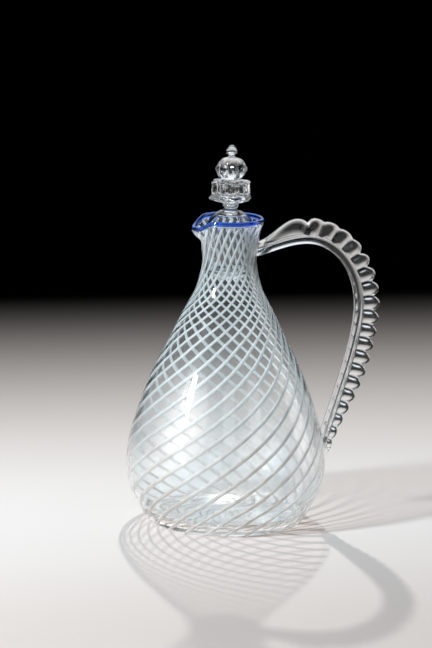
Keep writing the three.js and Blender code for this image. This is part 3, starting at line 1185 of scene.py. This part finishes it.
stopper_line += [
    (2.4, 0, finial_base - 0.2),
    (1.8, 0, finial_base + 0.5),
    (1.7, 0, finial_base + 1.2),
    (2.3, 0, finial_base + 1.7),
    (3.1, 0, finial_base + 2.1),
    (3.2, 0, finial_base + 2.6),
    (3.0, 0, finial_base + 3.4),
    (2.7, 0, finial_base + 4.3),
    (2.1, 0, finial_base + 5.4),
    (1.2, 0, finial_base + 6.3),
    (0.5, 0, finial_base + 6.6),
    (0, 0, finial_base + 6.65),
]
stopper_glass = glass(
    "clear_cast_glass",
    thin=rgb(253, 254, 255),
    thick=rgb(246, 250, 252),
    shade=rgb(150, 147, 146),
    edge_shade=rgb(110, 108, 107),
    swell_scale=260.0,
    draw=(1.0, 1.0, 0.2),
    bump=0.25,
)
stopper = shaped(
    "stopper",
    drawn(stopper_line, stopper_steps),
    turned,
    {
        "Around": 192,
        "Ribs": 8,
        "Waver": 0.6 * mm,
        "Waver Scale": 330.0,
        "Waver Draw": (1.0, 1.0, 0.3),
        "Crimp": 2.4,
        "Glass": stopper_glass,
        **unpulled,
    },
)
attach(stopper, "stopper")
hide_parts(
    "stopper_plug",
    "stopper_gather",
    "stopper_lower_knop",
    "stopper_upper_knop",
    "stopper_finial",
)

# The floor. One pale sheet, with its light painted into its colour: it is painted
# brightest and least warm round the jug, painted darker towards the back until it
# is black, and painted a little darker towards the front.
floor_reach = 8
floor_turn = math.radians(3)
floor_dim = -0.24
floor_warm = 0.34
floor_dark = 0.65
painted_front_light = 0.87
warm_grey = rgb(226, 219, 215)
plain_grey = rgb(226, 224, 223)
black = (0.0, 0.0, 0.0, 1)

floor_mesh = bpy.data.meshes.new("floor")
corners = ((-1, -1), (1, -1), (1, 1), (-1, 1))
floor_mesh.from_pydata(
    [(floor_reach * x, floor_reach * y, 0) for x, y in corners], [], [(0, 1, 2, 3)]
)
floor = placed("floor", floor_mesh)
sheet, tree = bare_material("pale_floor")
x, y, _ = apart(tree, outlet(put(tree, "ShaderNodeTexCoord"), "Object"))
behind = (x - axis.x) * math.sin(floor_turn) + y * math.cos(floor_turn)
# Painted light: the share of light painted into the floor's colour, full round the jug, less
# towards the front and none far behind it.
lit = behind.ramp(floor_dim, 0.0, painted_front_light, 1.0) * behind.ramp(0.0, floor_dark, 1.0, 0.0)
painted_pool = behind.ramp(floor_dim, 0.0) * behind.ramp(0.0, floor_warm, 1.0, 0.0)
# The painted light is painted warmer away from the jug and plainer round it.
painted_fall_off = mix(tree, lit, black, mix(tree, painted_pool, warm_grey, plain_grey))
grain = put(tree, "ShaderNodeTexNoise", {"Scale": 900.0, "Detail": 2.0})
body = put(
    tree,
    "ShaderNodeBsdfPrincipled",
    {
        "Base Color": painted_fall_off,
        "Roughness": grain.ramp(0.3, 0.7, 0.75, 0.85),
        "Specular IOR Level": 0.0,
    },
)
end_in(tree, "ShaderNodeOutputMaterial", body)
floor_mesh.materials.append(sheet)

# Light. A small lamp behind the jug throws its striped shadow forwards. A tall soft
# strip stands in front on the left and a broad dim screen on the right, and a grey
# sky fills the rest.
aim_height = 0.08
view_turn = math.radians(13)
towards_camera = Vector((-math.sin(view_turn), -math.cos(view_turn), 0))
camera_left = Vector((-math.cos(view_turn), math.sin(view_turn), 0))


def lamp(name, left_of, around, elevation, away, width, height, watts, colour):
    """A soft box aimed at the jug, turned by an angle to the left of a direction."""
    direction = left_of * math.cos(around) + camera_left * math.sin(around)
    direction = direction * math.cos(elevation) + Vector((0, 0, math.sin(elevation)))
    light = bpy.data.lights.new(name, "AREA")
    light.shape = "RECTANGLE"
    light.size = width
    light.size_y = height
    light.energy = watts
    light.color = colour
    box = placed(name, light)
    aim = Vector((axis.x, axis.y, aim_height))
    box.location = aim + direction * away
    box.rotation_euler = (-direction).to_track_quat("-Z", "Y").to_euler()


key_rise = math.radians(36.5)
cool_white = (0.97, 0.99, 1)
lamp(
    "key",
    -towards_camera,
    around=math.radians(0.4),
    elevation=key_rise,
    away=1.3,
    width=0.034,
    height=0.034,
    watts=11.2,
    colour=(1, 0.985, 0.96),
)
lamp(
    "right screen",
    towards_camera,
    around=math.radians(-104),
    elevation=math.radians(18),
    away=1.2,
    width=0.5,
    height=0.9,
    watts=2.3,
    colour=cool_white,
)
lamp(
    "strip",
    towards_camera,
    around=math.radians(56),
    elevation=math.radians(26.3),
    away=1.6,
    width=0.16,
    height=0.35,
    watts=33.0,
    colour=cool_white,
)

# The glass shows a dark room with panes of light in front, a glow round the lamp
# behind and a paler ceiling. All else is lit by a plain grey sky, and the camera
# sees black past the floor.
low_sky = (0.08, 0.08, 0.08, 1)
high_sky = (0.10, 0.12, 0.14, 1)
dark_room = (0.008, 0.016, 0.021, 1)
bright_room = (1.0, 1.05, 1.1, 1)
panes_across = 11
panes_up = 9
panes_shift = 0.8
between_panes = 0.1
ceiling_glow = 0.3

world = bpy.data.worlds.new("grey_room")
bpy.context.scene.world = world
world.use_nodes = True
tree = world.node_tree
tree.nodes.clear()
rays = put(tree, "ShaderNodeLightPath")
x, y, up = apart(tree, outlet(put(tree, "ShaderNodeTexCoord"), "Generated"))
sky = mix(tree, up.ramp(-0.2, 0.9), low_sky, high_sky)
front = x * towards_camera.x + y * towards_camera.y
panes = (x * panes_across).sin() * (up * panes_up + panes_shift).sin()
windows = panes.ramp(0.1, 0.3, between_panes, 1.0)
wall_glow = front.ramp(-0.1, 0.6) * up.ramp(0.4, 0.8, 1.0, 0.0) * windows
key_glow = (up * math.sin(key_rise) - front * math.cos(key_rise)).ramp(0.82, 0.95)
glow = wall_glow.sum("MAXIMUM", key_glow).sum("MAXIMUM", up.ramp(0.6, 0.9, 0.0, ceiling_glow))
room = mix(tree, glow, dark_room, bright_room)
in_glass = outlet(rays, "Is Glossy Ray").sum("MAXIMUM", outlet(rays, "Is Transmission Ray"))
shade = mix(tree, in_glass, sky, room)
shade = mix(tree, outlet(rays, "Is Camera Ray"), shade, black)
light = put(tree, "ShaderNodeBackground", {"Color": shade, "Strength": 1.0})
end_in(tree, "ShaderNodeOutputWorld", light)

# The camera stands two metres off at the height of a raised hand, a little to
# the left of square on, and looks down on the jug through a long lens.
camera_distance = 1.957
camera_height = 0.517
image_width, image_height = 432, 648
focal_pixels = 3572.0
foot_pixel = (224.4, 517.5)
roll = math.radians(1.15)

lens = bpy.data.cameras.new("camera")
lens.sensor_fit = "VERTICAL"
lens.sensor_height = 24.0
lens.lens = focal_pixels / image_height * lens.sensor_height
camera = placed("camera", lens)
camera.location = axis + towards_camera * camera_distance + Vector((0, 0, camera_height))
straight = (axis - camera.location).to_track_quat("-Z", "Y")
lift = math.atan((foot_pixel[1] - image_height / 2) / focal_pixels)
swing = math.atan((foot_pixel[0] - image_width / 2) / focal_pixels)
camera.rotation_mode = "QUATERNION"
camera.rotation_quaternion = (
    straight
    @ Quaternion((0, 0, 1), roll)
    @ Quaternion((1, 0, 0), lift)
    @ Quaternion((0, 1, 0), swing)
)
bpy.context.scene.camera = camera
bpy.context.scene.view_settings.view_transform = "Standard"
